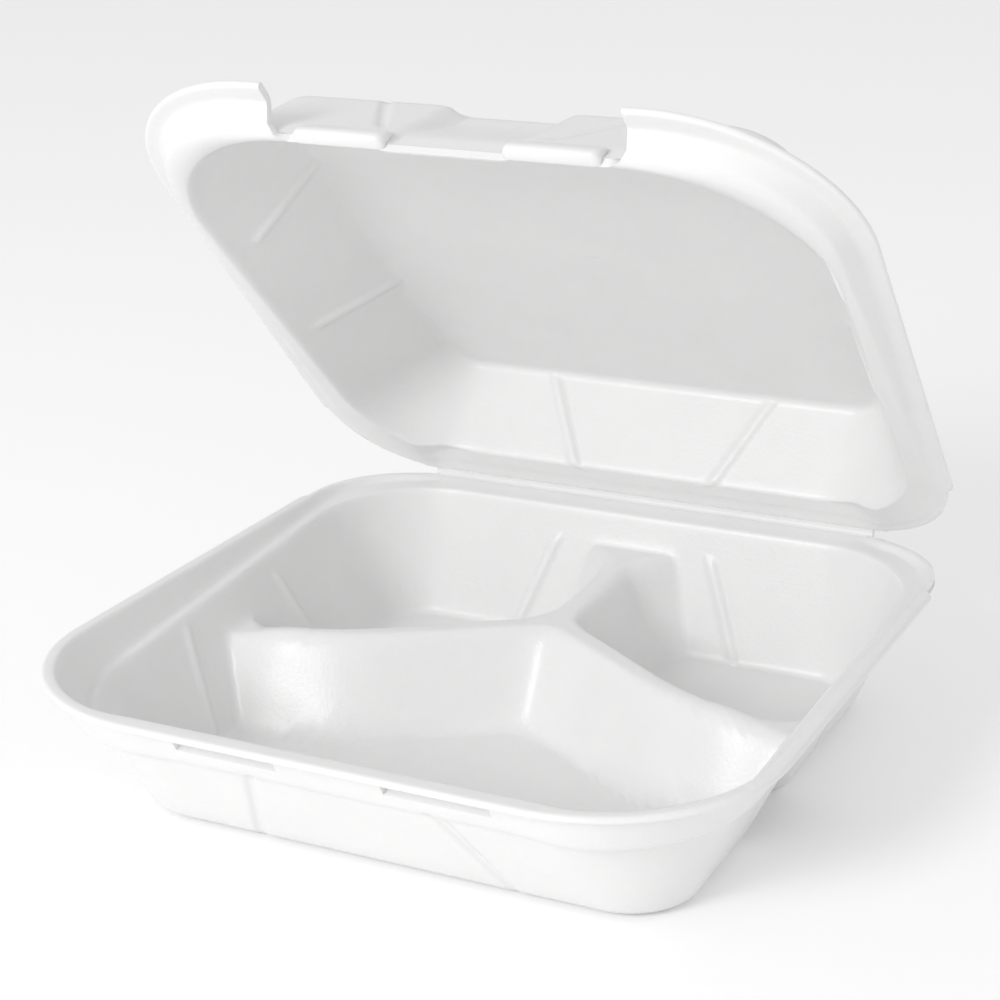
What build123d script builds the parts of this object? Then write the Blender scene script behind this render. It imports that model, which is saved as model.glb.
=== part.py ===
"""Hinged foam food container with three compartments, thermoformed from one sheet of foam.

Row frame: millimetres, +Z up, origin at the centre of the flat underside, -Y towards the opening front.
The tray and the lid are one folded sheet that meets along a crease at the back. Each half is drawn as an
open dish standing on the ground. The lid is then laid flat behind the tray and closed part of the way.
"""

import math
import os
from collections import namedtuple

from build123d import *

# Sheet and hinge
SHEET = 2.2  # thickness of the foam sheet
WALL = 2.4  # the same sheet measured across a leaning wall
RIM_Z = 45.0  # plane where tray and lid meet
OPEN_ANGLE = 46.8  # how far the lid stands open
CREASE_Y = 107.2  # the hinge line
CREASE_HALF = 75.0  # half length of the hinge line
CREASE_GAP = 0.3  # from the hinge line to each half
MEETING_GAP = 0.3  # between the two rims when shut

# Each half: its floor, how far the walls lean out per millimetre of height, and its rim
Half = namedtuple(
    "Half",
    "floor_z floor_pitch half_width front_y back_y floor_radius wall_radius side_lean front_lean back_lean"
    " rim_z lip_front_y lip_end_y lip_width front_lip_width",
)
TRAY = Half(
    floor_z=SHEET,
    floor_pitch=0.0,
    half_width=78.0,
    front_y=-67.0,
    back_y=88.5,
    floor_radius=16.0,
    wall_radius=46.0,
    side_lean=0.453,
    front_lean=0.725,
    back_lean=0.242,
    rim_z=RIM_Z,
    lip_front_y=-104.0,
    lip_end_y=68.0,
    lip_width=3.5,
    front_lip_width=6.2,
)
LEDGE_Z = 37.5  # height of the tray's ledge at y = 0
LEDGE_PITCH = 0.055  # the ledge falls towards the front
LEDGE_LOWEST = 31.5
LID_DEPTH = 33.0
LID = Half(
    floor_z=RIM_Z - MEETING_GAP - LID_DEPTH,
    floor_pitch=0.055,  # the top panel comes nearer to the rim towards the front
    half_width=74.0,
    front_y=-59.0,
    back_y=89.5,
    floor_radius=14.0,
    wall_radius=44.0,
    side_lean=0.55,
    front_lean=0.63,
    back_lean=0.26,
    rim_z=RIM_Z - MEETING_GAP,
    lip_front_y=-98.3,
    lip_end_y=73.0,
    lip_width=5.0,
    front_lip_width=6.5,
)
BEAD_RISE = 3.25  # the lid's bead stands this far above its rim at y = 0
BEAD_PITCH = 0.0407  # it grows towards the front and runs out near the hinge
BEAD_HIGHEST = 7.3
BEAD_SIDE_LEAN = 0.6
BEAD_FRONT_LEAN = 0.85
LIP_HALF_WIDTH = 105.0
RIM_HALF_WIDTH = 102.5  # behind the wider lips
RIM_FRONT_RADIUS = 50.0
RIM_BACK_RADIUS = 34.0
BAND_LEAN = 0.55  # of the tray's band between lip and ledge
FLANGE_DEPTH = 9.0  # the back flange slopes from the crease over this distance
FLANGE_DROP = 3.5
FLOOR_BEVEL = 3.0  # height of the bevel round each floor
FOOT_BEVEL = 2.0  # width of the bevel under it

# Dividers: a Y of ridges, the two front arms each running diagonally and then bending to meet the side walls
RIDGE_Z = 30.0
RIDGE_WIDTH = 7.0
RIDGE_LEAN = 0.44
CENTRE_ARM_HALF = 4.0
DIAGONAL = 34.6  # degrees from the X axis
DIAGONAL_Y = 43.0  # where the rear side of the diagonal would cross the centre plane
ARM_FRONT_Y = 2.5  # rear side of the arms at the side walls
ARM_RADIUS = 60.0
INNER_CORNER_RADIUS = 19.0
ARM_FLARE_X = 82.0
ARM_FLARE = 13.0
BUTTRESS_Y = 84.0
BUTTRESS_FLARE = 13.0

# Latch: two hooks on the front of the lid's bead face two slots in the tray's front wall
LATCH_X = 30.0
HOOK_WIDTH = 26.5
HOOK_FRONT_Y = -88.8
HOOK_DEPTH = 5.6
HOOK_LOW = 3.2  # above the lid's rim
HOOK_HIGH = 6.2
SLOT_WIDTH = 29.5
SLOT_Y = -96.0
SLOT_LOW_Z = 38.8
SLOT_HIGH_Z = 41.8
LIP_GAP_HALF = 50.5  # the lid's front lip is cut away between these
THUMB_HALF = 17.0  # thumb recess in the lid's front wall
THUMB_DEPTH = 5.0
THUMB_FOOT = 2.0  # height of its upright part
THUMB_TOP = 24.0  # height where it runs out
THUMB_REACH = 17.0  # and how far forward that is

# Stiffening ribs pressed into each wall: raised inside, grooved outside
RIB_TOP = 21.5
RIB_FOOT = 38.0
RIB_WIDTH = 3.6
RIB_DEPTH = 0.8
RIB_SIDE_Y = 5.0

FAR = 160.0  # beyond every wall


def outline(z, half_width, front_y, back_y, front_radius, back_radius):
    """A rounded rectangle at height z, with one corner radius at the front and one at the back."""
    plate = Plane.XY.offset(z) * Pos(0, (front_y + back_y) / 2) * Rectangle(2 * half_width, back_y - front_y)
    plate = fillet(plate.vertices().sort_by(Axis.Y)[:2], front_radius)
    rear = [v for v in plate.vertices() if v.Y > back_y - 0.01 and abs(v.X) > half_width - 0.01]
    return fillet(rear, back_radius)


def tilt(half, z):
    """How far a section at height z leans up towards the front: as the floor there, and level at the rim."""
    share = min(max(half.rim_z - z, 0.0) / (half.rim_z - half.floor_z), 1.0)
    angle = -math.degrees(math.atan(half.floor_pitch * share))
    return Pos(0, half.back_y, z) * Rot(angle, 0, 0) * Pos(0, -half.back_y, -z)


def dish(half, low_z, top_z, swell=0.0, foot=0.0):
    """The space inside a half's walls between two heights, grown outwards by swell, with its foot drawn in."""

    def section(z, swell):
        rise = z - half.floor_z
        share = rise / (half.rim_z - half.floor_z)
        radius = half.floor_radius + share * (half.wall_radius - half.floor_radius) + swell
        level = outline(
            z,
            half.half_width + half.side_lean * rise + swell,
            half.front_y - half.front_lean * rise - swell,
            half.back_y + half.back_lean * rise + swell,
            radius,
            0.8 * radius,
        )
        return tilt(half, z) * level

    return loft([section(low_z, swell - foot), section(top_z, swell)], ruled=True)


def collar(half, low_z, top_z, side_lean, front_lean, swell=0.0):
    """A ring-wide space inside the lips, growing outwards with height by the two leans."""

    def section(z):
        side_inset = half.lip_width + side_lean * (half.rim_z - z) - swell
        front_inset = half.front_lip_width + front_lean * (half.rim_z - z) - swell
        return outline(
            z,
            LIP_HALF_WIDTH - side_inset,
            half.lip_front_y + front_inset,
            CREASE_Y - FLANGE_DEPTH + swell,
            RIM_FRONT_RADIUS - side_inset,
            RIM_BACK_RADIUS - side_inset,
        )

    return loft([section(low_z), section(top_z)], ruled=True)


def band(top_z, swell=0.0):
    """The wider space above the tray's ledge, which falls towards the front."""
    slope = math.degrees(math.atan(LEDGE_PITCH))
    block = Box(2 * FAR, 3 * FAR, FAR, align=(Align.CENTER, Align.CENTER, Align.MIN))
    above = Pos(0, 0, LEDGE_Z - swell) * Rot(slope, 0, 0) * block
    return collar(TRAY, LEDGE_LOWEST - SHEET, top_z, BAND_LEAN, TRAY.front_lean, swell) & above


def bead(low_z, swell=0.0):
    """The ridge inside the lid's lips, which stands up from its rim and is highest at the front."""
    slope = math.degrees(math.atan(BEAD_PITCH))
    block = Box(2 * FAR, 3 * FAR, FAR, align=(Align.CENTER, Align.CENTER, Align.MAX))
    below = Pos(0, 0, LID.rim_z + BEAD_RISE + swell) * Rot(-slope, 0, 0) * block
    return collar(LID, low_z, LID.rim_z + BEAD_HIGHEST, -BEAD_SIDE_LEAN, -BEAD_FRONT_LEAN, swell) & below


def back_flange(half, swell=0.0):
    """The wedge of space over the back flange, which slopes from the crease down to the back wall."""
    inner_y = CREASE_Y - FLANGE_DEPTH
    low_z = half.rim_z - FLANGE_DROP - swell
    profile = Polyline(
        (inner_y - 6, half.rim_z + 1),
        (inner_y - 6, low_z),
        (inner_y, low_z),
        (CREASE_Y - CREASE_GAP, half.rim_z - swell),
        (CREASE_Y - CREASE_GAP, half.rim_z + 1),
        close=True,
    )
    return extrude(Plane.YZ * make_face(profile), CREASE_HALF - 3 + swell, both=True)


def rim_plate(half):
    """The flat rim, with wider lips along the front and most of both sides."""
    low_z = half.rim_z - SHEET
    back_y = CREASE_Y - CREASE_GAP
    whole = outline(low_z, RIM_HALF_WIDTH, half.lip_front_y + 2, back_y, RIM_FRONT_RADIUS, RIM_BACK_RADIUS)
    lips = outline(low_z, LIP_HALF_WIDTH, half.lip_front_y, half.lip_end_y, RIM_FRONT_RADIUS, 3.0)
    return extrude(whole, SHEET) + extrude(lips, SHEET)


def rear_region(side, low_z, top_z, swell=0.0, foot=0.0):
    """Everything behind the dividers on one side of the centre arm."""
    slope = math.tan(math.radians(DIAGONAL))
    stretch = 1 / math.cos(math.radians(DIAGONAL))

    def section(z, swell):
        inset = RIDGE_LEAN * (RIDGE_Z - z) - swell
        arm_x = CENTRE_ARM_HALF + inset
        diagonal_y = DIAGONAL_Y + inset * stretch
        front_y = ARM_FRONT_Y + inset
        bend = (arm_x, diagonal_y - slope * arm_x)
        knee = ((diagonal_y - front_y) / slope, front_y)
        points = [
            (arm_x, BUTTRESS_Y),
            bend,
            knee,
            (ARM_FLARE_X, front_y),
            (ARM_FLARE_X + ARM_FLARE, front_y + ARM_FLARE),
            (FAR, front_y + ARM_FLARE),
            (FAR, FAR),
            (arm_x + BUTTRESS_FLARE, FAR),
            (arm_x + BUTTRESS_FLARE, BUTTRESS_Y + 1.4 * BUTTRESS_FLARE),
        ]
        face = make_face(Polyline(*[(side * x, y) for x, y in points], close=True))
        inner = [v for v in face.vertices() if math.hypot(v.X - side * bend[0], v.Y - bend[1]) < 0.01]
        face = fillet(inner, INNER_CORNER_RADIUS - inset)
        outer = [v for v in face.vertices() if math.hypot(v.X - side * knee[0], v.Y - knee[1]) < 0.01]
        face = fillet(outer, ARM_RADIUS - inset)
        return Pos(0, 0, z) * face

    return loft([section(low_z, swell - foot), section(top_z, swell)], ruled=True)


def front_region(low_z, top_z, swell=0.0, foot=0.0):
    """Everything in front of the dividers."""
    slope = math.tan(math.radians(DIAGONAL))
    stretch = 1 / math.cos(math.radians(DIAGONAL))

    def section(z, swell):
        inset = RIDGE_LEAN * (RIDGE_Z - z) - swell
        apex_y = DIAGONAL_Y - (RIDGE_WIDTH + inset) * stretch
        front_y = ARM_FRONT_Y - RIDGE_WIDTH - inset
        knee_x = (apex_y - front_y) / slope
        points = [(0, apex_y), (knee_x, front_y), (FAR, front_y), (FAR, -FAR)]
        points += [(-FAR, -FAR), (-FAR, front_y), (-knee_x, front_y)]
        face = make_face(Polyline(*points, close=True))
        knees = [v for v in face.vertices() if abs(abs(v.X) - knee_x) < 0.01]
        face = fillet(knees, ARM_RADIUS + RIDGE_WIDTH + inset)
        apex = [v for v in face.vertices() if abs(v.X) < 0.01 and v.Y > 0]
        face = fillet(apex, INNER_CORNER_RADIUS - inset)
        return Pos(0, 0, z) * face

    return loft([section(low_z, swell - foot), section(top_z, swell)], ruled=True)


def compartments(low_z, top_z, swell=0.0, foot=0.0):
    """The spaces of the front compartment and of both rear ones."""
    whole = dish(TRAY, low_z, top_z, swell, foot)
    regions = [front_region(low_z, top_z, swell, foot)]
    regions += [rear_region(side, low_z, top_z, swell, foot) for side in (-1, 1)]
    return [(whole & region).solid() for region in regions]


def ribs(half, top_z, outwards=0.0):
    """Pairs of bars lying in a half's four walls, moved outwards by the given distance."""
    bars = []
    depth = half.rim_z - half.floor_z
    walls = (
        (0.0, half.front_y - outwards, half.front_lean, 0.0),
        (0.0, half.back_y + outwards, half.back_lean, 180.0),
        (half.half_width + outwards, RIB_SIDE_Y, half.side_lean, 90.0),
        (-half.half_width - outwards, RIB_SIDE_Y, half.side_lean, -90.0),
    )
    for x, y, lean, turn in walls:
        for side in (-1, 1):
            foot_y = y + side * RIB_FOOT * math.sin(math.radians(turn))
            foot_z = half.floor_z + half.floor_pitch * (half.back_y - foot_y)
            slant = math.degrees(math.atan(lean * depth / (half.rim_z - foot_z)))
            length = (top_z - foot_z) / math.cos(math.radians(slant))
            spread = math.degrees(math.asin((RIB_FOOT - RIB_TOP) / length))
            bar = Box(RIB_WIDTH, 2 * RIB_DEPTH, length, align=(Align.CENTER, Align.CENTER, Align.MIN))
            tilted = Rot(slant, 0, 0) * Pos(side * RIB_FOOT, 0, 0) * Rot(0, -side * spread, 0) * bar
            bars.append(Pos(x, y, foot_z) * Rot(0, 0, turn) * tilted)
    return bars


def flange_form(half):
    """The back flange's sheet, cut off at the rim."""
    below_rim = Pos(0, 0, half.rim_z - FAR / 2) * Box(2 * FAR, 2 * FAR, FAR)
    return back_flange(half, SHEET) & below_rim


def make_tray():
    """The lower half: rim, ledge, walls and three compartments, hollow beneath the dividers."""
    deck_z = RIDGE_Z - SHEET
    bevel_z = TRAY.floor_z + FLOOR_BEVEL
    body = rim_plate(TRAY) + flange_form(TRAY)
    body += band(TRAY.rim_z, SHEET)
    body += dish(TRAY, deck_z, TRAY.rim_z, WALL)
    for form in compartments(0.0, FLOOR_BEVEL, WALL, FOOT_BEVEL) + compartments(FLOOR_BEVEL, deck_z, WALL):
        body += form
    for space in compartments(TRAY.floor_z, bevel_z, 0.0, FLOOR_BEVEL) + compartments(bevel_z, RIDGE_Z):
        body -= space
    body -= dish(TRAY, RIDGE_Z, TRAY.rim_z + 1)
    body -= band(TRAY.rim_z + 1)
    body -= back_flange(TRAY)
    body += ribs(TRAY, LEDGE_LOWEST)
    body -= ribs(TRAY, LEDGE_LOWEST, WALL)
    for side in (-1, 1):
        slot = Box(SLOT_WIDTH, 12.0, SLOT_HIGH_Z - SLOT_LOW_Z)
        body -= Pos(side * LATCH_X, SLOT_Y, (SLOT_LOW_Z + SLOT_HIGH_Z) / 2) * slot
    return body


def thumb_recess(swell=0.0):
    """A wedge outside the middle of the lid's front wall, which presses the wall inwards."""
    panel_z = LID.floor_z - SHEET + LID.floor_pitch * (LID.back_y - LID.front_y)
    wall_y = LID.front_y - WALL
    top_z = panel_z + THUMB_TOP + swell
    profile = Polyline(
        (wall_y - FAR, panel_z - 1),
        (wall_y + THUMB_DEPTH + swell, panel_z - 1),
        (wall_y + THUMB_DEPTH + swell, panel_z + THUMB_FOOT + swell),
        (wall_y - THUMB_REACH + swell, top_z),
        (wall_y - FAR, top_z),
        close=True,
    )
    return extrude(Plane.YZ * make_face(profile), THUMB_HALF + swell, both=True)


def make_lid():
    """The upper half as an open dish: rim, bead, walls, top panel, thumb recess and latch hooks."""
    panel_z = LID.floor_z - SHEET
    bevel_z = LID.floor_z + FLOOR_BEVEL
    outer_wall = dish(LID, panel_z + FLOOR_BEVEL, LID.rim_z + BEAD_HIGHEST + 1, WALL)
    form = outer_wall & Pos(0, 0, LID.rim_z - FAR / 2) * Box(2 * FAR, 3 * FAR, FAR)
    form += dish(LID, panel_z, panel_z + FLOOR_BEVEL, WALL, FOOT_BEVEL)
    body = rim_plate(LID) + flange_form(LID) + form
    body += bead(LID.rim_z - SHEET)
    body -= dish(LID, LID.floor_z, bevel_z, 0.0, FLOOR_BEVEL)
    body -= dish(LID, bevel_z, LID.rim_z + BEAD_HIGHEST + 1)
    body -= back_flange(LID)
    body -= bead(LID.rim_z - SHEET - 1, -SHEET) - outer_wall
    gap = Box(2 * LIP_GAP_HALF, FAR, SHEET + 1 + BEAD_HIGHEST, align=(Align.CENTER, Align.MAX, Align.MIN))
    body -= Pos(0, LID.front_y, LID.rim_z - SHEET - 1) * gap - outer_wall
    body += ribs(LID, LID.rim_z - 2 * SHEET)
    body -= ribs(LID, LID.rim_z - 2 * SHEET, WALL)
    body += thumb_recess(SHEET) & form
    body -= thumb_recess()
    for side in (-1, 1):
        hook = Box(HOOK_WIDTH, HOOK_DEPTH, HOOK_HIGH - HOOK_LOW, align=(Align.CENTER, Align.MIN, Align.MIN))
        body += Pos(side * LATCH_X, HOOK_FRONT_Y, LID.rim_z + HOOK_LOW) * hook
    return body


def lid_in_place():
    """The lid laid flat behind the tray, then turned about the crease to the angle it stands open."""
    flat = Pos(0, 2 * CREASE_Y, 0) * Rot(0, 0, 180) * make_lid()
    closing = 180.0 - OPEN_ANGLE
    return Pos(0, CREASE_Y, RIM_Z) * Rot(closing, 0, 0) * Pos(0, -CREASE_Y, -RIM_Z) * flat


def main():
    os.makedirs("parts", exist_ok=True)
    export_step(make_tray(), "parts/base_tray.step")
    export_step(lid_in_place(), "parts/lid.step")


main()
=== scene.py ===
"""Looks of the hinged foam food container: tray, lid and living hinge as thin moulded foam sheets.

Each half is one closed skin. Its upper side is a height above the plane of its rim, sampled on rings that run
round the half from the lip to the middle of its floor, and its lower side is the same sheet's thickness away.
Lengths in this script are millimetres until a mesh is made, when they become metres.
"""

import math
from dataclasses import dataclass

import bmesh
import bpy
import numpy as np
from mathutils import Matrix, Vector


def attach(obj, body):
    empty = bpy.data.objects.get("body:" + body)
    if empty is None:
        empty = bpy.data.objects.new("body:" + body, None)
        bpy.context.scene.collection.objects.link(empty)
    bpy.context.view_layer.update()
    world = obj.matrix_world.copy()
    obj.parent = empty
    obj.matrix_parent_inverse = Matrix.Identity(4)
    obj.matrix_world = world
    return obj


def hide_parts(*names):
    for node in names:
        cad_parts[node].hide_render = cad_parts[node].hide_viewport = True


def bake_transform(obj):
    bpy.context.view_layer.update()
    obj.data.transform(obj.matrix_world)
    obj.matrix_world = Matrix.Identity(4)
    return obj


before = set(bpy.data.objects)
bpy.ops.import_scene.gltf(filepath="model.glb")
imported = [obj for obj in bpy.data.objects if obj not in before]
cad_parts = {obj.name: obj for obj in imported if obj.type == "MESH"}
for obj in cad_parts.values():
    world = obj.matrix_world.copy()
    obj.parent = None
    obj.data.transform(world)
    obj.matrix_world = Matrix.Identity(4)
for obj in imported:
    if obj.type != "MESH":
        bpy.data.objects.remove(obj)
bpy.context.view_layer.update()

SHEET = 2.2  # thickness of the foam
RIM_Z = 45.0  # plane where the tray and the lid meet
RIM_HALF_WIDTH = 105.0
MEETING_GAP = 0.3  # between the two rims when the container is shut
LID_RIM = RIM_Z - MEETING_GAP
LID_DEPTH = 33.0
CREASE_Y = 107.2
BACK_EDGE_Y = CREASE_Y - 0.3  # the flanges stop just short of the hinge line
OPEN_ANGLE = math.radians(46.8)  # how far the lid stands open
LIP_RADII = (50.0, 34.0)  # at the front corners and at the back ones
LIP_END_STEP = 2.5  # the rim is this much narrower behind the wide side lips
FLANGE_PITCH = 0.4  # fall of the back flanges towards the inside

# The Y of ridges between the compartments
RIDGE_Z = 30.0
RIDGE_WIDTH = 7.0
RIDGE_LEAN = 0.44  # run of a ridge's flank for each millimetre of its fall
DIAGONAL = math.tan(math.radians(34.6))  # slope of the two slanting arms
DIAGONAL_Y = 43.0  # where the slanting arms would meet
FORK_SOFTNESS = 5.0  # rounds the front of the fork
ARM_FRONT_Y = 2.5  # rear edge of the side arms, where they run straight
STRAIGHT_X = 60.0  # the arms run straight to the side walls from about here
ARM_FLARE = 14.0  # how much the arms widen at the side walls
ARM_DIP = 4.0  # how much the arms' crest falls at the side walls
CENTRE_ARM_HALF = 4.0
BUTTRESS_GROWTH = 13.0  # how much each side of the centre arm widens at the back wall
BUTTRESS_RISE = 2.5

# The tray's rim, from its lip down to the walls
BAND_LEAN = 0.55  # run of the band under the lip for each millimetre of its fall
FRONT_LIP_GROWTH = 2.8
BACK_BAND_DROP = 8.0  # takes the back flange out of the way beyond its ends
LEDGE_Z = 37.5  # height of the ledge below the band, at the middle of the tray
LEDGE_PITCH = 0.055

# The lid's rim and panel
BEAD_HEIGHT = 3.25  # of the bead inside the lip, at the middle of the lid
BEAD_PITCH = 0.0407
BEAD_LEAN = 0.6
BEAD_FRONT_LEAN = 0.25  # what the front adds to the lean
LID_FRONT_LIP_GROWTH = 1.5
FLANGE_REACH = 9.5
PANEL_RISE = 8.2  # the lid is this much shallower at its front

# The latch
LATCH_X = 30.0
SLOT_HALF = 14.75
SLOT_Z = (38.8, 41.8)
GAP_HALF = 50.5  # half width of the gap in the lid's front lip
THUMB_HALF = 17.0
THUMB_DEPTH = 5.0
THUMB_TOP_SHARE = 0.3  # share of its depth that the thumb recess keeps at the rim
HOOK_BACK_Y = -84.9
HOOK_MIDDLE = 3.2  # height above the lid's rim


@dataclass
class Half:
    """Sizes of one half, standing open side up: its floor, how its walls lean, and its lips."""

    floor_z: float
    half_width: float
    front_y: float
    back_y: float
    floor_radius: float
    wall_radius: float
    side_lean: float
    front_lean: float
    back_lean: float
    rim_z: float
    lip_front_y: float
    lip_end_y: float  # where the wide side lips end
    lip_width: float

    def wall(self, z):
        """Half width, front, back, front radius and back radius of the walls at height z."""
        rise = z - self.floor_z
        share = rise / (self.rim_z - self.floor_z)
        radius = self.floor_radius + share * (self.wall_radius - self.floor_radius)
        return (
            self.half_width + self.side_lean * rise,
            self.front_y - self.front_lean * rise,
            self.back_y + self.back_lean * rise,
            radius,
            0.8 * radius,
        )

    def lip(self, inset):
        """The lip's outline, drawn in by inset, as half width, front, back and the two radii."""
        front_radius, back_radius = LIP_RADII
        return (
            RIM_HALF_WIDTH - inset,
            self.lip_front_y + inset,
            BACK_EDGE_Y - inset,
            front_radius - inset,
            back_radius - inset,
        )


TRAY = Half(
    floor_z=SHEET,
    half_width=78.0,
    front_y=-67.0,
    back_y=88.5,
    floor_radius=16.0,
    wall_radius=46.0,
    side_lean=0.453,
    front_lean=0.725,
    back_lean=0.242,
    rim_z=RIM_Z,
    lip_front_y=-104.0,
    lip_end_y=68.0,
    lip_width=3.5,
)
LID = Half(
    floor_z=LID_RIM - LID_DEPTH,
    half_width=74.0,
    front_y=-59.0,
    back_y=89.5,
    floor_radius=14.0,
    wall_radius=44.0,
    side_lean=0.55,
    front_lean=0.63,
    back_lean=0.26,
    rim_z=LID_RIM,
    lip_front_y=-98.3,
    lip_end_y=73.0,
    lip_width=5.0,
)


# Shaping functions on arrays


def smooth_max(a, b, reach):
    """The larger of a and b, rounded where they are within reach of each other."""
    mix = np.clip(0.5 + 0.5 * (a - b) / reach, 0.0, 1.0)
    return b + (a - b) * mix + reach * mix * (1.0 - mix)


def smooth_min(a, b, reach):
    return -smooth_max(-a, -b, reach)


def step(value, start, end):
    """0 before start, 1 after end, and a smooth climb between."""
    t = np.clip((value - start) / (end - start), 0.0, 1.0)
    return t * t * (3.0 - 2.0 * t)


def outside(x, y, form):
    """Distance outwards from a rounded rectangle given as half width, front, back and two radii."""
    width, front, back, front_radius, back_radius = form
    in_front = y < 0.5 * (front + back)
    radius = np.where(in_front, front_radius, back_radius)
    across = np.abs(x) - (width - radius)
    along = np.where(in_front, front + radius - y, y - back + radius)
    corner = np.hypot(np.maximum(across, 0.0), np.maximum(along, 0.0))
    return corner + np.minimum(np.maximum(across, along), 0.0) - radius


def wall_height(half, x, y, push=None):
    """Height at which the leaning walls pass through each point; far below the floor in the middle."""
    low = np.full_like(x, half.floor_z - 14.0)
    high = np.full_like(x, half.rim_z + 20.0)
    for _ in range(26):
        middle = 0.5 * (low + high)
        shifted = y if push is None else y - push(x, y, middle)
        inside = outside(x, shifted, half.wall(middle)) < 0.0
        high = np.where(inside, middle, high)
        low = np.where(inside, low, middle)
    return 0.5 * (low + high)


# Heights of the two halves' inner faces


def divider_height(x, y):
    """Height of the Y of ridges, which falls away on each side of its crest."""
    stretch = math.hypot(1.0, DIAGONAL)
    spread = np.abs(x)
    softened = np.hypot(spread, FORK_SOFTNESS)
    front_line = smooth_max(
        np.full_like(x, ARM_FRONT_Y - RIDGE_WIDTH),
        DIAGONAL_Y - RIDGE_WIDTH * stretch - DIAGONAL * softened,
        15.0,
    )
    flare = ARM_FLARE * step(spread, 76.0, 96.0)
    rear_line = smooth_max(np.full_like(x, ARM_FRONT_Y), DIAGONAL_Y - DIAGONAL * spread, 12.0) + flare
    incline = 1.0 / np.hypot(1.0, DIAGONAL * step(STRAIGHT_X - spread, -12.0, 12.0))
    arm = CENTRE_ARM_HALF + BUTTRESS_GROWTH * step(y, 80.0, 102.0)
    in_front = (front_line - y) * incline
    behind = smooth_min((y - rear_line) * incline, spread - arm, 9.0)
    crest = RIDGE_Z - ARM_DIP * step(spread, 66.0, 92.0) + BUTTRESS_RISE * step(y, 55.0, 98.0)
    return smooth_min(crest, crest - np.maximum(in_front, behind) / RIDGE_LEAN, 4.0)


def tray_height(x, y):
    """Height of the tray's inner face: its rim, its bowl and the ridges in it."""
    lip_distance = -outside(x, y, TRAY.lip(0.0))
    in_front = step(-y, 55.0, 92.0) * (1.0 - step(np.abs(x), 46.0, 74.0))
    at_back = step(y, 78.0, 98.0) * (1.0 - step(np.abs(x), 70.0, 80.0))
    lip_width = TRAY.lip_width * (1.0 - at_back) + FRONT_LIP_GROWTH * in_front
    side_band = RIM_Z - np.maximum(lip_distance - lip_width, 0.0) / BAND_LEAN
    back_band = RIM_Z - FLANGE_PITCH * (BACK_EDGE_Y - y) - BACK_BAND_DROP * (1.0 - at_back)
    ledge = LEDGE_Z + LEDGE_PITCH * y
    rim = smooth_max(smooth_max(side_band, back_band, 0.6), ledge, 2.0)
    rim = smooth_min(np.full_like(x, RIM_Z), rim, 1.2)
    wall = wall_height(TRAY, x, y)
    bowl = smooth_max(wall, np.full_like(x, TRAY.floor_z), 3.0)
    shell = smooth_min(rim, bowl, 2.4)
    return smooth_max(shell, divider_height(x, y), 4.0)


def thumb_push(x, y, z):
    """How far the thumb recess presses the lid's front wall inwards."""
    across = 1.0 - step(np.abs(x), THUMB_HALF - 1.5, THUMB_HALF + 2.5)
    up = THUMB_TOP_SHARE + (1.0 - THUMB_TOP_SHARE) * (1.0 - step(z, LID.floor_z + 6.0, LID_RIM))
    return THUMB_DEPTH * across * up * (y < 0.0)


def lid_height(x, y):
    """Height of the lid's inner face, as it lies open side up: its rim with the bead, and its bowl."""
    lip_distance = -outside(x, y, LID.lip(0.0))
    in_front = step(-y, 50.0, 90.0) * (1.0 - step(np.abs(x), 52.0, 90.0))
    lip_width = LID.lip_width + LID_FRONT_LIP_GROWTH * in_front
    lean = BEAD_LEAN + BEAD_FRONT_LEAN * in_front
    flank = LID_RIM + (lip_distance - lip_width) / lean
    crest = LID_RIM + np.maximum(BEAD_HEIGHT - BEAD_PITCH * y, 0.0)
    rim = smooth_min(smooth_max(np.full_like(x, LID_RIM), flank, 1.2), crest, 1.0)
    at_back = (y > 0.0) * (1.0 - step(np.abs(x), 68.0, 80.0))
    rim -= FLANGE_PITCH * np.clip(BACK_EDGE_Y - y, 0.0, FLANGE_REACH) * at_back
    wall = wall_height(LID, x, y, thumb_push)
    bowl = smooth_max(wall, np.full_like(x, LID.floor_z), 2.0)
    height = smooth_min(rim, bowl, 2.2)
    towards_front = np.clip((LID.back_y - y) / (LID.back_y - LID.front_y), 0.0, 1.1)
    return height + PANEL_RISE * towards_front * np.clip(LID_RIM - height, 0.0, LID_DEPTH) / LID_DEPTH


# Rings of points from the lip to the middle of the floor


def path_points(points, count):
    """count points at equal steps along a polyline, without its last point."""
    points = np.array(points)
    reach = np.concatenate([[0.0], np.cumsum(np.hypot(*np.diff(points, axis=0).T))])
    wanted = np.linspace(0.0, reach[-1], count, endpoint=False)
    return np.stack([np.interp(wanted, reach, points[:, axis]) for axis in (0, 1)], axis=1)


RIB_TOP = 21.5  # how far the ribs are from the middle of their wall at its top
RIB_FOOT = 38.0
RIB_SIDE_FOOT = 33.0
RIB_SIDE_Y = 5.0
RIB_DEPTH = 0.75
RIB_EDGES = (-1.9, -1.25, 1.25, 1.9)
RIB_COUNTS = (1, 3, 1)
SIDE_ENDS = (-34.0, 58.0)
BACK_STOP = 58.0


def run(stops, counts):
    """Places along a straight run, in equal steps between stops, without its last place."""
    parts = [np.linspace(a, b, count, endpoint=False) for a, b, count in zip(stops, stops[1:], counts)]
    return np.concatenate(parts)


def around_rib(centre):
    return [centre + edge for edge in RIB_EDGES]


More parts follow.
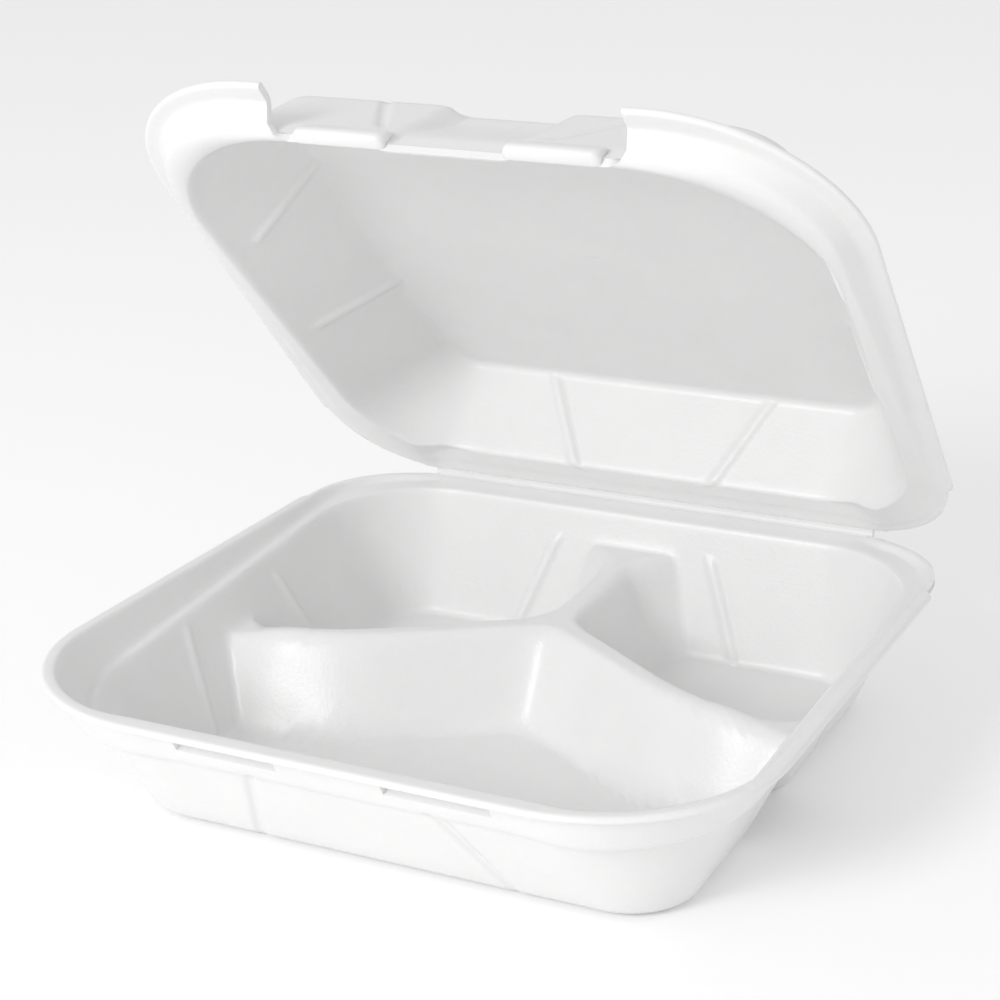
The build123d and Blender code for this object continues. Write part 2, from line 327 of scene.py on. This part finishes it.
def ring(form, climb=1.0):
    """A closed ring of points round a form. The columns of a rib lean out as climb goes from 1 down to 0."""
    width, front, back, front_radius, back_radius = form
    rib = RIB_FOOT + climb * (RIB_TOP - RIB_FOOT)
    side_rib = RIB_SIDE_FOOT + climb * (RIB_TOP - RIB_SIDE_FOOT)
    gap = min(GAP_HALF, width - front_radius - 0.5)
    slot = (LATCH_X - SLOT_HALF, min(LATCH_X + SLOT_HALF, gap - 2.0))
    xs = run((0.0, slot[0], *around_rib(rib), slot[1], gap), (8, 9, *RIB_COUNTS, 9, 6))
    points = [np.stack([xs, np.full_like(xs, front)], axis=1)]
    arc = np.linspace(0.0, 0.5 * math.pi, 60)
    turn = [(width - front_radius * (1 - math.sin(a)), front + front_radius * (1 - math.cos(a))) for a in arc]
    side_start = max(SIDE_ENDS[0], front + front_radius + 0.5)
    points.append(path_points([(gap, front), *turn, (width, side_start)], 84))
    stops = (side_start, *around_rib(RIB_SIDE_Y - side_rib), *around_rib(RIB_SIDE_Y + side_rib), SIDE_ENDS[1])
    ys = run(stops, (8, *RIB_COUNTS, 28, *RIB_COUNTS, 12))
    points.append(np.stack([np.full_like(ys, width), ys], axis=1))
    turn = [(width - back_radius * (1 - math.cos(a)), back - back_radius * (1 - math.sin(a))) for a in arc]
    behind = min(BACK_STOP, width - back_radius - 0.5)
    points.append(path_points([(width, SIDE_ENDS[1]), *turn, (behind, back)], 56))
    xs = run((behind, *reversed(around_rib(rib)), 0.0), (18, *RIB_COUNTS, 16))
    points.append(np.stack([xs, np.full_like(xs, back)], axis=1))
    right = np.concatenate(points)
    left = np.concatenate([[(0.0, back)], right[:0:-1] * (-1.0, 1.0)])
    return np.concatenate([right, left])


def rib_columns():
    """How high each column stands in a rounded rib, as a share of its depth."""
    crown = [0.7, 1.0, 1.0, 0.7]
    front = [0] * 18 + crown + [0] * 15
    side = [0] * 9 + crown + [0] * 29 + crown + [0] * 12
    back = [0] * 19 + crown + [0] * 16
    right = front + [0] * 84 + side + [0] * 56 + back
    return np.array(right + [0] + right[:0:-1], float)


def raise_ribs(points, normals, half, walls, top_z):
    """Lifts the ribs' columns out of the walls, which are the rings in the range walls, up to top_z."""
    z = points[:, :, 2]
    rise = RIB_DEPTH * step(z, half.floor_z + 0.3, half.floor_z + 2.5) * (1.0 - step(z, top_z, top_z + 2.0))
    rise[: walls[0]] = 0.0
    rise[walls[1] :] = 0.0
    points += (rib_columns() * rise)[:, :, None] * normals


def blend_forms(first, second, share):
    return tuple(a + share * (b - a) for a, b in zip(first, second))


EDGE_INSETS = (0.0, 0.12, 0.4, 0.75, 1.1)
LIP_INSETS = (2.0, 3.0, 3.7, 4.3, 4.9, 5.5, 6.0)
FLOOR_SHARES = run((0.015, 0.2, 0.62, 0.985), (10, 7, 17))


def half_rings(half, wall_levels, centre, lip_insets):
    """All the rings of one half, as an array of ring by point by x and y."""
    rings = [ring(half.lip(inset)) for inset in EDGE_INSETS + lip_insets]
    lip_end = half.lip(lip_insets[-1])

    def climb(z):
        return (z - half.floor_z) / (half.rim_z - half.floor_z)

    def wall_form(k):
        """The walls at level k, kept in front of the back flange."""
        width, front, back, front_radius, back_radius = half.wall(wall_levels[k])
        return (width, front, min(back, lip_end[2] - 0.3 - 0.05 * k), front_radius, back_radius)

    rings += [ring(blend_forms(lip_end, wall_form(0), share)) for share in (0.3, 0.65)]
    rings += [ring(wall_form(k), climb(z)) for k, z in enumerate(wall_levels)]
    floor = ring(half.wall(half.floor_z), 0.0)
    rings += [floor + share * (np.array(centre) - floor) for share in FLOOR_SHARES]
    return np.stack(rings)


def narrow_behind_lips(points, half):
    """Draws the rim in a little behind the wider side lips, with a short step."""
    share = np.array([1.0 - min(k / (len(EDGE_INSETS) + 2), 1.0) for k in range(len(points))])
    x, y = points[:, :, 0], points[:, :, 1]
    behind = step(y, half.lip_end_y - 0.8, half.lip_end_y + 1.2)
    at_side = np.abs(x) > 80.0
    points[:, :, 0] = x - LIP_END_STEP * np.sign(x) * behind * share[:, None] * at_side
    return points


# From rings to a closed skin


def grid_normals(points):
    """Unit normals of a grid of points, closed along its second axis."""
    along = np.gradient(points, axis=0)
    around = 0.5 * (np.roll(points, -1, axis=1) - np.roll(points, 1, axis=1))
    normals = np.cross(along, around)
    length = np.linalg.norm(normals, axis=2, keepdims=True)
    normals /= np.maximum(length, 1e-9)
    return normals * np.sign(normals[:, :, 2:3] + 1e-9)


def skin(points, normals, holes):
    """Vertices and faces of a sheet under a grid of surface points, open where holes say."""
    rings, count, _ = points.shape
    normals[: len(EDGE_INSETS)] = (0.0, 0.0, 1.0)
    inset = np.array(EDGE_INSETS) / EDGE_INSETS[-1]
    half_sheet = np.full(rings, 0.5 * SHEET)
    half_sheet[: len(inset)] *= np.sqrt(1.0 - (1.0 - inset) ** 2)
    middle = points - 0.5 * SHEET * normals
    upper = middle + half_sheet[:, None, None] * normals
    lower = middle - half_sheet[:, None, None] * normals
    vertices = np.concatenate([upper.reshape(-1, 3), lower.reshape(-1, 3)])
    below = rings * count

    kept = np.ones((rings - 1, count), bool)
    for ring_range, point_test in holes:
        kept[ring_range[0] : ring_range[1]] &= ~point_test

    def at(k, i):
        return k * count + i % count

    faces = []
    for k in range(rings - 1):
        for i in range(count):
            if not kept[k, i]:
                continue
            quad = (at(k, i), at(k, i + 1), at(k + 1, i + 1), at(k + 1, i))
            faces.append(quad)
            faces.append(tuple(below + v for v in reversed(quad)))
            edges = (
                (k - 1, i, quad[1], quad[0]),
                (k + 1, i, quad[3], quad[2]),
                (k, (i - 1) % count, quad[0], quad[3]),
                (k, (i + 1) % count, quad[2], quad[1]),
            )
            for near_k, near_i, start, end in edges:
                outer = near_k < 0
                inner = near_k > rings - 2
                if outer or (not inner and not kept[near_k, near_i]):
                    faces.append((start, end, below + end, below + start))
    hub = (rings - 1) * count
    for i in range(1, count - 1):
        faces.append((hub, hub + i, hub + i + 1))
        faces.append((below + hub, below + hub + i + 1, below + hub + i))
    return vertices, faces


def sweep_faces(sections, size):
    """Faces of a closed bar, whose vertices are given section by section, size to a section."""
    faces = []
    for k in range(sections - 1):
        for i in range(size):
            j = (i + 1) % size
            faces.append((k * size + i, k * size + j, (k + 1) * size + j, (k + 1) * size + i))
    faces.append(tuple(reversed(range(size))))
    faces.append(tuple((sections - 1) * size + i for i in range(size)))
    return faces


def make_object(name, vertices, faces, placement, material, body=None):
    """A smooth-shaded object in metres from vertices in millimetres, riding on the body given, if any."""
    mesh = bpy.data.meshes.new(name)
    mesh.from_pydata((vertices * 0.001).tolist(), [], faces)
    tidy = bmesh.new()
    tidy.from_mesh(mesh)
    bmesh.ops.remove_doubles(tidy, verts=tidy.verts, dist=0.00001)
    bmesh.ops.recalc_face_normals(tidy, faces=tidy.faces)
    tidy.to_mesh(mesh)
    tidy.free()
    mesh.transform(placement)
    mesh.shade_smooth()
    mesh.set_sharp_from_angle(angle=math.radians(62.0))
    mesh.materials.append(material)
    obj = bpy.data.objects.new(name, mesh)
    bpy.context.collection.objects.link(obj)
    if body:
        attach(obj, body)
    return obj


def lid_placement():
    """Where the lid, drawn like the tray, stands: laid flat behind it and turned about the crease."""
    flat = Matrix.Translation((0.0, 0.002 * CREASE_Y, 0.0)) @ Matrix.Rotation(math.pi, 4, "Z")
    hinge = Matrix.Translation((0.0, 0.001 * CREASE_Y, 0.001 * RIM_Z))
    closing = Matrix.Rotation(math.pi - OPEN_ANGLE, 4, "X")
    return hinge @ closing @ hinge.inverted() @ flat


WALL_LEVELS = (44.3, 43.6, 43.0, 42.4, 41.8, 40.8, 39.8, 38.8, 37.9, 37.0, 36.1, 35.2, 34.0, 32.6, 31.2)
LOWER_LEVELS = tuple(np.linspace(29.8, 3.4, 19))


def make_tray(material):
    levels = WALL_LEVELS + LOWER_LEVELS
    flat = narrow_behind_lips(half_rings(TRAY, levels, (0.0, 37.0), LIP_INSETS), TRAY)
    x, y = flat[:, :, 0], flat[:, :, 1]
    z = tray_height(x, y)
    points = np.dstack([x, y, z])
    first_level = len(EDGE_INSETS) + len(LIP_INSETS) + 2
    normals = grid_normals(points)
    raise_ribs(points, normals, TRAY, (first_level, first_level + len(levels)), 32.0)
    slot_rings = [first_level + levels.index(z) for z in reversed(SLOT_Z)]
    column_x = 0.5 * (x[slot_rings[0]] + np.roll(x[slot_rings[0]], -1))
    at_slot = (np.abs(np.abs(column_x) - LATCH_X) < SLOT_HALF) & (y[slot_rings[0]] < -80.0)
    vertices, faces = skin(points, normals, [(slot_rings, at_slot)])
    tray = make_object("tray_foam", vertices, faces, Matrix(), material, "tray")
    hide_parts("base_tray")


LID_LIP_INSETS = (2.5, 4.0, 5.0, 5.6, 6.3, 7.0, 7.6, 8.0)


def make_lid(material):
    upper_levels = np.linspace(LID_RIM + 7.0, LID_RIM - 2.0, 13)
    levels = (*upper_levels, *np.linspace(LID_RIM - 3.6, LID.floor_z + 1.0, 19))
    flat = narrow_behind_lips(half_rings(LID, levels, (0.0, 15.0), LID_LIP_INSETS), LID)
    x, y = flat[:, :, 0], flat[:, :, 1]
    z = lid_height(x, y)
    points = np.dstack([x, y, z])
    first_level = len(EDGE_INSETS) + len(LID_LIP_INSETS) + 2
    normals = grid_normals(points)
    raise_ribs(points, normals, LID, (first_level, first_level + len(levels)), LID_RIM - 5.0)
    gap_rings = (0, first_level)
    column_x = 0.5 * (x[0] + np.roll(x[0], -1))
    at_gap = (np.abs(column_x) < GAP_HALF) & (y[0] < -80.0)
    vertices, faces = skin(points, normals, [(gap_rings, at_gap)])
    lid = make_object("lid_foam", vertices, faces, lid_placement(), material, "lid")
    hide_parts("lid")


def make_hinge_web(material):
    """The thin bent strip of foam between the halves, round the hinge line."""
    thickness = 1.5
    overlap = 1.2  # how far the strip reaches over each flange
    stations = np.linspace(-75.0, 75.0, 61)
    turn = np.linspace(-0.5 * math.pi, 0.5 * math.pi - OPEN_ANGLE, 13)
    outer = [(-overlap, -thickness)] + [(thickness * math.cos(a), thickness * math.sin(a)) for a in turn]
    reach = (-overlap * math.cos(OPEN_ANGLE), overlap * math.sin(OPEN_ANGLE))
    outward = (math.sin(OPEN_ANGLE), math.cos(OPEN_ANGLE))
    outer.append((reach[0] + thickness * outward[0], reach[1] + thickness * outward[1]))
    inner = [(-0.66, 1.5), (-0.5, 0.55), (-0.8, 0.0), (-1.55, -0.46)]
    section = outer + inner
    vertices = np.array([(x, CREASE_Y + dy, RIM_Z + dz) for x in stations for dy, dz in section])
    faces = sweep_faces(len(stations), len(section))
    web = make_object("hinge_web", vertices, faces, Matrix(), material)
    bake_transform(web)


def make_hooks(material):
    """The two latch hooks, low wedges across the outside of the lid's front wall."""
    profile = [(1.6, -0.4), (-0.4, 1.4), (-2.0, 2.9), (-3.0, 4.2), (-3.2, 5.2), (-2.7, 6.0), (0.6, 6.5)]
    stations = (-13.2, -12.5, -11.4, 11.4, 12.5, 13.2)
    shares = (0.35, 0.75, 1.0, 1.0, 0.75, 0.35)  # how full the profile is at each station
    faces = sweep_faces(len(stations), len(profile))
    for name, side in (("latch_hook_left", -1), ("latch_hook_right", 1)):
        vertices = []
        for across, share in zip(stations, shares):
            height = 0.7 + 0.3 * share
            for out, up in profile:
                reach = out * share if out < 0.0 else out
                z = LID_RIM + HOOK_MIDDLE + (up - HOOK_MIDDLE) * height
                vertices.append((side * LATCH_X + across, HOOK_BACK_Y + reach, z))
        make_object(name, np.array(vertices), faces, lid_placement(), material, "lid")


# Foam


def foam_material():
    """White expanded foam: a satin skin with a fine grain, soft cells under it and a little light inside."""
    material = bpy.data.materials.new("foam_skin")
    material.use_nodes = True
    nodes = material.node_tree.nodes
    links = material.node_tree.links
    shader = nodes["Principled BSDF"]
    shader.inputs["IOR"].default_value = 1.5
    shader.inputs["Subsurface Weight"].default_value = 0.2
    shader.inputs["Subsurface Radius"].default_value = (1.0, 0.98, 0.95)
    shader.inputs["Subsurface Scale"].default_value = 0.002

    place = nodes.new("ShaderNodeTexCoord")

    cells = nodes.new("ShaderNodeTexVoronoi")
    cells.inputs["Scale"].default_value = 900.0
    links.new(place.outputs["Object"], cells.inputs["Vector"])
    grain = nodes.new("ShaderNodeTexNoise")
    grain.inputs["Scale"].default_value = 2600.0
    grain.inputs["Detail"].default_value = 3.0
    links.new(place.outputs["Object"], grain.inputs["Vector"])
    drift = nodes.new("ShaderNodeTexNoise")
    drift.inputs["Scale"].default_value = 60.0
    drift.inputs["Detail"].default_value = 4.0
    links.new(place.outputs["Object"], drift.inputs["Vector"])

    tint = nodes.new("ShaderNodeMix")
    tint.data_type = "RGBA"
    tint.inputs["A"].default_value = (0.80, 0.80, 0.80, 1.0)
    tint.inputs["B"].default_value = (0.84, 0.84, 0.837, 1.0)
    links.new(drift.outputs["Fac"], tint.inputs["Factor"])
    links.new(tint.outputs["Result"], shader.inputs["Base Color"])

    gloss = nodes.new("ShaderNodeMapRange")
    gloss.inputs["To Min"].default_value = 0.26
    gloss.inputs["To Max"].default_value = 0.42
    links.new(grain.outputs["Fac"], gloss.inputs["Value"])
    links.new(gloss.outputs["Result"], shader.inputs["Roughness"])

    fine = nodes.new("ShaderNodeBump")
    fine.inputs["Strength"].default_value = 0.35
    fine.inputs["Distance"].default_value = 0.00012
    links.new(grain.outputs["Fac"], fine.inputs["Height"])
    coarse = nodes.new("ShaderNodeBump")
    coarse.inputs["Strength"].default_value = 0.25
    coarse.inputs["Distance"].default_value = 0.00015
    links.new(cells.outputs["Distance"], coarse.inputs["Height"])
    links.new(fine.outputs["Normal"], coarse.inputs["Normal"])
    links.new(coarse.outputs["Normal"], shader.inputs["Normal"])
    return material


# Stage


def make_floor():
    bpy.ops.mesh.primitive_plane_add(size=12.0, location=(0.0, 0.0, 0.0))
    floor = bpy.context.object
    floor.name = "floor"
    material = bpy.data.materials.new("floor_white")
    material.use_nodes = True
    shader = material.node_tree.nodes["Principled BSDF"]
    shader.inputs["Base Color"].default_value = (0.95, 0.95, 0.95, 1.0)
    shader.inputs["Roughness"].default_value = 0.8
    shader.inputs["Emission Color"].default_value = (1.0, 1.0, 1.0, 1.0)
    shader.inputs["Emission Strength"].default_value = 0.1
    floor.data.materials.append(material)


def add_area_light(name, location, target, size, power):
    data = bpy.data.lights.new(name, "AREA")
    data.shape = "SQUARE"
    data.size = size
    data.energy = power
    light = bpy.data.objects.new(name, data)
    light.location = location
    light.rotation_euler = (Vector(target) - Vector(location)).to_track_quat("-Z", "Y").to_euler()
    bpy.context.collection.objects.link(light)


def make_lights():
    centre = (0.0, 0.0, 0.08)
    add_area_light("key", (-0.42, -1.6, 0.88), centre, 0.55, 14.0)
    world = bpy.data.worlds.new("studio")
    world.use_nodes = True
    background = world.node_tree.nodes["Background"]
    background.inputs["Color"].default_value = (1.0, 1.0, 1.0, 1.0)
    background.inputs["Strength"].default_value = 0.74
    bpy.context.scene.world = world
    bpy.context.scene.view_settings.view_transform = "Standard"


def make_camera():
    """Seen from the front right, a little above the open lid's middle."""
    azimuth, elevation, roll = math.radians(26.33), math.radians(19.22), math.radians(-0.75)
    distance, focal_share = 0.63337, 2.3018
    target = Vector((0.00083, 0.0, 0.07981))
    back = Vector(
        (
            math.sin(azimuth) * math.cos(elevation),
            -math.cos(azimuth) * math.cos(elevation),
            math.sin(elevation),
        )
    )
    right = Vector((math.cos(azimuth), math.sin(azimuth), 0.0))
    up = back.cross(right)
    rolled_right = math.cos(roll) * right + math.sin(roll) * up
    rolled_up = -math.sin(roll) * right + math.cos(roll) * up
    data = bpy.data.cameras.new("camera")
    data.sensor_width = 36.0
    data.lens = 36.0 * focal_share
    camera = bpy.data.objects.new("camera", data)
    basis = Matrix((rolled_right, rolled_up, back)).transposed()
    camera.matrix_world = Matrix.Translation(target + distance * back) @ basis.to_4x4()
    bpy.context.collection.objects.link(camera)
    bpy.context.scene.camera = camera


foam = foam_material()
make_tray(foam)
make_lid(foam)
make_hooks(foam)
make_hinge_web(foam)
make_floor()
make_lights()
make_camera()
